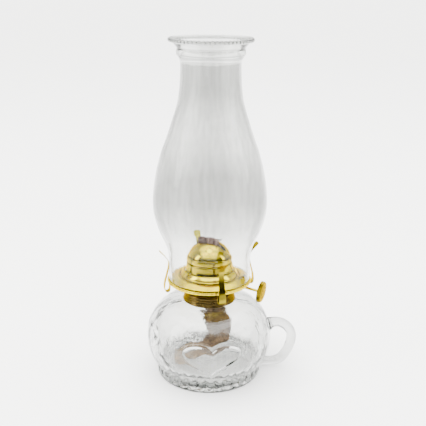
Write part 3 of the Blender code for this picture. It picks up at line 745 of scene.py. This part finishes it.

# ---------------------------------------------------------------------------------------
# Gallery plate: a wide pressed brass ring that carries the chimney.  It steps down from
# the dome's seat, and its rim is crimped into shallow scallops over a row of small beads.

# painted shade: dark lines in the gallery's step, along the foot and the bead of the dome's wall
# and under its cap, and the dome's upright wall darker than its cap
BRASS_PAINTED_SHADE = (
    (93.0, 1.0), (99.1, 1.0), (99.5, 0.36), (100.2, 0.36), (100.5, 1.0), (104.6, 0.95),
    (105.2, 0.30), (106.2, 0.45), (107.0, 0.62), (112.0, 0.66), (112.8, 0.28), (113.5, 0.30),
    (114.2, 0.80), (118.2, 0.72), (119.1, 0.22), (119.8, 0.25), (120.4, 0.95), (124.0, 1.0),
    (131.0, 1.0))
shaded_brass = polished_brass("shaded_brass", (0.52, 0.38, 0.008), (0.72, 0.59, 0.012), 0.11,
                               shade_bands=BRASS_PAINTED_SHADE)
GALLERY_RIM = ((39.3, 93.7), (39.55, 94.1), (39.2, 94.55), (38.4, 94.9), (37.6, 95.4),
               (35.6, 96.8), (32.6, 98.15), (29.6, 99.2), (27.9, 99.7))
GALLERY_STEP = ((27.6, 99.25), (27.2, 99.0), (26.95, 99.5), (26.8, 100.3), (26.4, 100.5),
                (26.15, 100.7), (26.25, 101.5))
GALLERY_SEAT = ((26.1, 101.9), (25.5, 102.8), (24.6, 104.0), (23.9, 104.8), (23.1, 105.3))
gallery_show = np.vstack([even_path(smooth_path(GALLERY_RIM, 8), 0.35), GALLERY_STEP,
                          even_path(smooth_path(GALLERY_SEAT, 6), 0.35)])
GALLERY_BEADS = 64


def crimped_rim(r, z, a):
    edge = np.clip((r - 37.4) / 1.8, 0.0, 1.0)
    wave = np.cos(GALLERY_BEADS * a)
    return r + 0.14 * edge * wave, z + 0.18 * edge * wave


gallery = turned("gallery", sheet_outline(gallery_show, 0.6, 0.3), 432, shaded_brass,
                 form=crimped_rim, sharp=35.0)


def bead_tree(name, mat):
    """A ring of small round beads standing on a rim."""
    tree, start, end = node_tree(name, (
        ("Beads", "NodeSocketInt", 72), ("Ring Radius", "NodeSocketFloat", 0.038),
        ("Bead Radius", "NodeSocketFloat", 0.0008), ("Height", "NodeSocketFloat", 0.095)))
    ring = add_node(tree, "GeometryNodeMeshCircle", Vertices=start.outputs["Beads"],
                    Radius=start.outputs["Ring Radius"])
    rise = add_node(tree, "ShaderNodeCombineXYZ", Z=start.outputs["Height"])
    lift = add_node(tree, "GeometryNodeTransform", Geometry=ring.outputs["Mesh"],
                    Translation=rise.outputs["Vector"])
    bead = add_node(tree, "GeometryNodeMeshIcoSphere", Subdivisions=2,
                    Radius=start.outputs["Bead Radius"])
    place = add_node(tree, "GeometryNodeInstanceOnPoints", Points=lift.outputs["Geometry"],
                     Instance=bead.outputs["Mesh"])
    real = add_node(tree, "GeometryNodeRealizeInstances", Geometry=place.outputs["Instances"])
    soft = add_node(tree, "GeometryNodeSetShadeSmooth", Geometry=real.outputs["Geometry"])
    coat = add_node(tree, "GeometryNodeSetMaterial", Material=mat,
                    Geometry=soft.outputs["Geometry"])
    tree.links.new(coat.outputs["Geometry"], end.inputs["Geometry"])
    return tree


beads = mesh_piece("gallery_beads", [(0, 0, 0)], [], bright_brass)
made_by_nodes(beads, bead_tree("bead_ring", bright_brass), {
    "Beads": GALLERY_BEADS, "Ring Radius": 0.0378, "Bead Radius": 0.0010, "Height": 0.0955})
for piece in (gallery, beads):
    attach(piece, "gallery")
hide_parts("gallery_plate")

# ---------------------------------------------------------------------------------------
# Dome: a deep-drawn brass cap with a rolled bead round its wall and a long slot across
# its crown, through which the wick burns.  It is pressed into the gallery plate.

DOME_WALL = ((22.55, 105.6), (22.4, 106.2), (22.05, 106.9), (21.8, 108.4), (21.65, 111.0),
             (21.5, 112.4), (21.1, 113.0), (20.8, 113.5), (21.1, 114.0), (21.4, 114.6),
             (21.25, 116.2), (20.95, 118.0), (20.4, 119.0), (19.8, 119.35))
DOME_CAP = ((19.75, 119.75), (19.5, 120.4), (18.9, 121.8), (17.7, 123.6), (15.8, 125.5),
            (13.4, 127.3), (10.4, 129.0), (7.0, 130.15), (3.4, 130.85))
dome_show = np.vstack([even_path(smooth_path(DOME_WALL, 6), 0.4), [(19.2, 119.3), (19.15, 119.6)],
                       even_path(smooth_path(DOME_CAP, 6), 0.5)])
dome_in = even_path(smooth_path(((21.9, 105.7), (21.2, 107.5), (20.9, 112.0), (20.4, 117.6),
                                 (19.0, 118.9), (18.6, 120.2), (16.8, 123.2), (12.8, 126.8),
                                 (6.8, 129.5), (3.0, 130.2)), 6), 0.9)
dome_profile = [(0.0, 130.4)] + dome_in[::-1].tolist() + dome_show.tolist() + [(0.0, 131.0)]
dome = turned("dome_cap", dome_profile, 240, shaded_brass, closed=False)
outward(dome)

SLOT_HALF_LENGTH = 16.2
SLOT_HALF_WIDTH = 2.8
SLOT_SIDES = 32
slot_points = []
for level in (121.0, 140.0):
    for k in range(SLOT_SIDES):
        angle = 2 * math.pi * k / SLOT_SIDES
        lengthwise = (math.copysign(SLOT_HALF_LENGTH - SLOT_HALF_WIDTH, math.cos(angle))
                      + SLOT_HALF_WIDTH * math.cos(angle))
        across = SLOT_HALF_WIDTH * math.sin(angle)
        p = (math.sin(SHAFT_AZIMUTH) * lengthwise + math.cos(SHAFT_AZIMUTH) * across,
             -math.cos(SHAFT_AZIMUTH) * lengthwise + math.sin(SHAFT_AZIMUTH) * across, level)
        slot_points.append([c * MM for c in p])
slot = mesh_piece("slot_punch", slot_points, tube_faces(2, SLOT_SIDES))
outward(slot)
punch = dome.modifiers.new("slot", "BOOLEAN")
punch.operation = "DIFFERENCE"
punch.solver = "EXACT"
punch.object = slot
apply_modifiers(dome)
bpy.data.objects.remove(slot)
dome.data.shade_smooth()
dome.data.set_sharp_from_angle(angle=math.radians(40.0))
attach(dome, "gallery")
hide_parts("dome")

# ---------------------------------------------------------------------------------------
# Four prongs of springy brass strip, hooked under the gallery's rim.  They press on the
# foot of the chimney and flare out at the top so that it can be pushed in.

PRONG_SHOW = ((38.5, 92.7), (38.45, 90.6), (38.5, 88.9), (39.1, 86.9), (41.0, 85.9), (42.9, 87.2),
              (43.5, 90.4), (43.3, 93.3), (42.8, 96.6), (41.3, 102.1), (40.0, 107.2),
              (39.25, 111.2), (39.1, 113.2), (39.5, 116.0), (42.1, 120.2), (45.0, 123.6),
              (47.8, 126.6))
PRONG_HALF = 2.9
PRONG_THICK = 0.25
STRIP_SIDES = 24
spring_brass = polished_brass("spring_brass", (0.16, 0.122, 0.008), (0.25, 0.195, 0.014),
                              0.16, False)
lit_brass = polished_brass("lit_brass", (0.80, 0.66, 0.06), (0.95, 0.84, 0.12), 0.20, False)
BRIGHT_PRONG = 2             # the one at the back, made brighter with lit_brass: painted light
prong_path = even_path(smooth_path(PRONG_SHOW, 8), 0.5)
run = np.gradient(prong_path, axis=0)
run /= np.linalg.norm(run, axis=1)[:, None]
section = []
for k in range(STRIP_SIDES):
    angle = 2 * math.pi * k / STRIP_SIDES
    section.append((PRONG_THICK * math.copysign(abs(math.sin(angle)) ** 0.5, math.sin(angle)),
                    PRONG_HALF * math.copysign(abs(math.cos(angle)) ** 0.28, math.cos(angle))))
for k in range(4):
    turn = math.atan2(joints["prong_%d_flex" % (k + 1)]["axis"][1],
                      joints["prong_%d_flex" % (k + 1)]["axis"][0])
    outwards = np.array((math.sin(turn), -math.cos(turn), 0.0))
    sideways = np.array((math.cos(turn), math.sin(turn), 0.0))
    up = np.array((0.0, 0.0, 1.0))
    points = []
    for i, ((r, z), (tr, tz)) in enumerate(zip(prong_path, run)):
        end = min(i, len(prong_path) - 1 - i) * 0.5
        narrow = 1.0 - 0.45 * max(0.0, 1.0 - end / 1.6) ** 2
        narrow *= (1.10 - 0.26 * min(1.0, max(0.0, (z - 90.0) / 20.0))
                   + 0.6 * max(0.0, (z - 119.0) / 8.0))
        crown = 0.12 if z > 90.0 else 0.0
        for thick, wide in section:
            bow = crown * (1.0 - (wide / PRONG_HALF) ** 2)
            p = (outwards * (r + tz * (thick + bow)) + up * (z - tr * (thick + bow))
                 + sideways * wide * narrow)
            points.append(p * MM)
    prong = mesh_piece("prong_strip_%d" % (k + 1), points,
                       tube_faces(len(prong_path), STRIP_SIDES),
                       lit_brass if k == BRIGHT_PRONG else spring_brass)
    outward(prong)
    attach(prong, "prong_%d" % (k + 1))
    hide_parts("prong_%d" % (k + 1))

# ---------------------------------------------------------------------------------------
# Chimney of thin blown glass: a straight foot, a full bulge low down and a long neck,
# with a moulded ring and a flared crown edged with pearls.

# painted shade and painted highlights: the greys by height darken the bulge, the neck and two rings
# in the crown and leave a light band where the neck flares; the greys across darken the front and
# back a little and the outline much more, and lighten the glass between
chimney_glass = clear_glass(
    "chimney_glass",
    ((96.0, 1.0), (122.0, 0.98), (140.0, 0.84), (158.0, 0.58), (180.0, 0.50), (196.0, 0.60),
     (225.0, 0.76), (252.0, 0.72), (270.0, 0.60), (295.4, 0.62), (296.3, 1.0), (301.5, 1.0),
     (302.6, 0.84), (304.6, 0.92), (306.0, 0.98), (307.2, 0.66), (308.4, 0.70), (309.4, 0.97),
     (312.0, 1.0), (313.4, 0.82), (316.0, 0.92)),
    ((0.0, 0.86), (0.30, 0.90), (0.50, 1.0), (0.66, 1.0), (0.80, 0.93), (0.93, 0.97),
     (0.985, 0.72), (1.0, 0.60)),
    depth=34.0, ior=1.30, glare=0.30, wave_size=38.0, wave_depth=0.0009, line_size=260.0,
    rough=0.01)
CHIMNEY_BODY = ((38.1, 97.8), (38.1, 104.0), (38.0, 112.0), (38.2, 118.5), (39.4, 126.0),
                (42.4, 134.5), (46.2, 142.8), (49.6, 152.6), (51.7, 162.2), (52.2, 171.8),
                (51.6, 181.3), (50.3, 190.8), (48.5, 200.1), (46.2, 209.4), (43.5, 218.6),
                (40.1, 227.7), (37.0, 236.7), (34.0, 245.7), (31.1, 254.6), (28.9, 263.5),
                (27.6, 273.0), (26.8, 284.0), (26.5, 294.0))
CHIMNEY_NECK = ((26.5, 295.0), (26.9, 297.5), (27.8, 299.8), (28.9, 301.4), (29.9, 302.8),
                (30.2, 304.4), (30.15, 306.0), (29.7, 307.3), (29.9, 308.4), (30.9, 309.9),
                (32.3, 311.6), (33.6, 313.0))
PEARLS = 60
PEARL_AT = (35.5, 315.1)
PEARL_RADIUS = 1.95
LIP_RADIUS = 1.3
outer = np.vstack([even_path(smooth_path(CHIMNEY_BODY, 6), 3.2),
                   even_path(smooth_path(CHIMNEY_NECK, 5), 0.7)])
lip = [(PEARL_AT[0] - 0.3 + LIP_RADIUS * math.cos(math.radians(b)),
        PEARL_AT[1] - 0.5 + LIP_RADIUS * math.sin(math.radians(b))) for b in range(-60, 206, 19)]
CHIMNEY_LINING = ((32.3, 313.3), (30.0, 311.2), (28.0, 309.0), (27.0, 306.0), (26.5, 303.0),
                  (25.5, 299.5), (24.7, 295.0), (24.75, 284.0), (25.5, 273.0), (26.9, 263.0),
                  (29.2, 254.0), (32.1, 245.2), (35.1, 236.2), (38.2, 227.2), (41.6, 218.0),
                  (44.3, 208.9), (46.6, 199.6), (48.4, 190.4), (49.7, 181.0), (50.3, 171.8),
                  (49.8, 162.6), (47.8, 153.2), (44.4, 143.6), (40.7, 135.3), (37.7, 126.6),
                  (36.4, 118.8), (36.2, 112.0), (36.2, 104.0), (36.2, 97.8))
chimney_foot = [(36.35, 97.2), (36.8, 96.95), (37.5, 96.95), (37.95, 97.2)]
lining = even_path(smooth_path(CHIMNEY_LINING, 6), 3.2)
chimney_profile = outer.tolist() + lip + lining.tolist() + chimney_foot

chimney = turned("chimney_glass", chimney_profile, 288, chimney_glass, sharp=80.0)
# painted shade: a grey all round, darker towards the two sides
pearl_glass = clear_glass(
    "pearl_glass", ((300.0, 0.86), (314.0, 0.80), (318.0, 0.90)),
    ((0.0, 1.0), (0.6, 0.97), (0.9, 0.74), (1.0, 0.66)),
    depth=40.0, ior=1.5, glare=1.0, wave_size=300.0, wave_depth=0.0004, line_size=900.0,
    rough=0.01)
pearls = mesh_piece("chimney_pearls", [(0, 0, 0)], [], pearl_glass)
made_by_nodes(pearls, bead_tree("pearl_ring", pearl_glass), {
    "Beads": PEARLS, "Ring Radius": PEARL_AT[0] * MM, "Bead Radius": PEARL_RADIUS * MM,
    "Height": PEARL_AT[1] * MM})
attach(pearls, "chimney")
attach(chimney, "chimney")
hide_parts("chimney")

# ---------------------------------------------------------------------------------------
# Studio: a pale sweep of floor that glows, with a painted shadow under the lamp; a large soft
# light from the left and above, a weaker one from the right, and the camera.

FLOOR_GLOW = 3.3             # strength of the sweep's brightest part
floor = mesh_piece("studio_floor", [(-40, -40, -0.0002), (40, -40, -0.0002), (40, 40, -0.0002),
                                    (-40, 40, -0.0002)], [[0, 1, 2, 3]])
paper, tree, shader = new_material("studio_paper")
place = tree.nodes.new("ShaderNodeTexCoord").outputs["Object"]
tooth = add_node(tree, "ShaderNodeTexNoise", Scale=3.0, Detail=2.0, Vector=place)
tree.links.new(colour_steps(tree, tooth.outputs["Fac"], ((0.3, (0.47, 0.47, 0.46)),
                                                         (0.7, (0.50, 0.50, 0.49)))),
               shader.inputs["Base Color"])
parts = add_node(tree, "ShaderNodeSeparateXYZ", Vector=place)
# painted light: the floor's glow is full from just in front of the lamp backwards and fades out
# towards the camera
pool = add_node(tree, "ShaderNodeMapRange", "lit part of the sweep", From_Min=-0.36,
                From_Max=-0.11, To_Min=0.05, To_Max=1.0, interpolation_type="SMOOTHSTEP",
                Value=parts.outputs["Y"])
# painted shadow: the glow is dimmed under and round the lamp's foot, a little to its right
apart = worked_out(tree, "ShaderNodeVectorMath", "DISTANCE", place, (0.010, 0.002, 0.0))
shade = add_node(tree, "ShaderNodeMapRange", "shade under the lamp", From_Min=0.035,
                 From_Max=0.112, To_Min=0.38, To_Max=1.0, interpolation_type="SMOOTHSTEP",
                 Value=apart)
glow = worked_out(tree, "ShaderNodeMath", "MULTIPLY", pool.outputs["Result"],
                  shade.outputs["Result"])
tree.links.new(worked_out(tree, "ShaderNodeMath", "MULTIPLY", glow, FLOOR_GLOW),
               shader.inputs["Emission Strength"])
shader.inputs["Emission Color"].default_value = (1.0, 1.0, 0.975, 1.0)
shader.inputs["Roughness"].default_value = 0.7
floor.data.materials.append(paper)

world = bpy.data.worlds.new("studio")
bpy.context.scene.world = world
world.use_nodes = True
tree = world.node_tree
back = tree.nodes["Background"]
where = tree.nodes.new("ShaderNodeTexCoord")
parts = add_node(tree, "ShaderNodeSeparateXYZ", Vector=where.outputs["Generated"])
depth = add_node(tree, "ShaderNodeMapRange", From_Min=-0.80, From_Max=0.55,
                 interpolation_type="SMOOTHSTEP", Value=parts.outputs["Y"])
climb = add_node(tree, "ShaderNodeMapRange", From_Min=0.22, From_Max=0.72,
                 interpolation_type="SMOOTHSTEP", Value=parts.outputs["Z"])
most = worked_out(tree, "ShaderNodeMath", "MAXIMUM", depth.outputs["Result"],
                  climb.outputs["Result"])
tone = colour_steps(tree, most, ((0.0, (0.007, 0.007, 0.007)), (0.3, (0.05, 0.05, 0.05)),
                                 (0.7, (0.19, 0.19, 0.188)), (1.0, (1.0, 1.0, 0.985))))
tree.links.new(tone, back.inputs["Color"])
back.inputs["Strength"].default_value = 3.2


def soft_light(name, place, aim, size, power, colour):
    lamp = bpy.data.lights.new(name, "AREA")
    lamp.shape = "RECTANGLE"
    lamp.size, lamp.size_y = size
    lamp.energy = power
    lamp.color = colour
    obj = bpy.data.objects.new(name, lamp)
    bpy.context.scene.collection.objects.link(obj)
    obj.location = place
    way = (np.array(aim) - np.array(place)).tolist()
    obj.rotation_euler = Vector(way).to_track_quat("-Z", "Y").to_euler()


soft_light("key", (-1.3, -0.35, 0.75), (0.0, 0.0, 0.17), (0.45, 1.1), 18.0, (1.0, 0.995, 0.98))
soft_light("fill", (1.3, -0.25, 0.7), (0.0, 0.0, 0.17), (0.35, 1.0), 10.0, (0.98, 0.99, 1.0))
soft_light("top", (0.0, -0.05, 1.5), (0.0, 0.0, 0.1), (1.8, 2.6), 105.0, (1.0, 1.0, 1.0))

CAMERA_DISTANCE = 0.63993
CAMERA_HEIGHT = 0.36561
CAMERA_AZIMUTH = math.radians(-2.0)
CAMERA_PITCH = math.radians(17.87)
CAMERA_ROLL = math.radians(0.517)
CAMERA_FOCAL = 730.93        # for a frame 426 wide
CAMERA_YAW = -math.atan(3.35 / CAMERA_FOCAL)
camera_data = bpy.data.cameras.new("camera")
camera_data.sensor_width = 36.0
camera_data.lens = 36.0 * CAMERA_FOCAL / 426.0
camera = bpy.data.objects.new("camera", camera_data)
bpy.context.scene.collection.objects.link(camera)
bpy.context.scene.camera = camera
camera.matrix_world = (
    Matrix.Translation((CAMERA_DISTANCE * math.sin(CAMERA_AZIMUTH),
                        -CAMERA_DISTANCE * math.cos(CAMERA_AZIMUTH), CAMERA_HEIGHT))
    @ Matrix.Rotation(CAMERA_AZIMUTH + CAMERA_YAW, 4, "Z")
    @ Matrix.Rotation(math.pi / 2 - CAMERA_PITCH, 4, "X")
    @ Matrix.Rotation(CAMERA_ROLL, 4, "Z"))
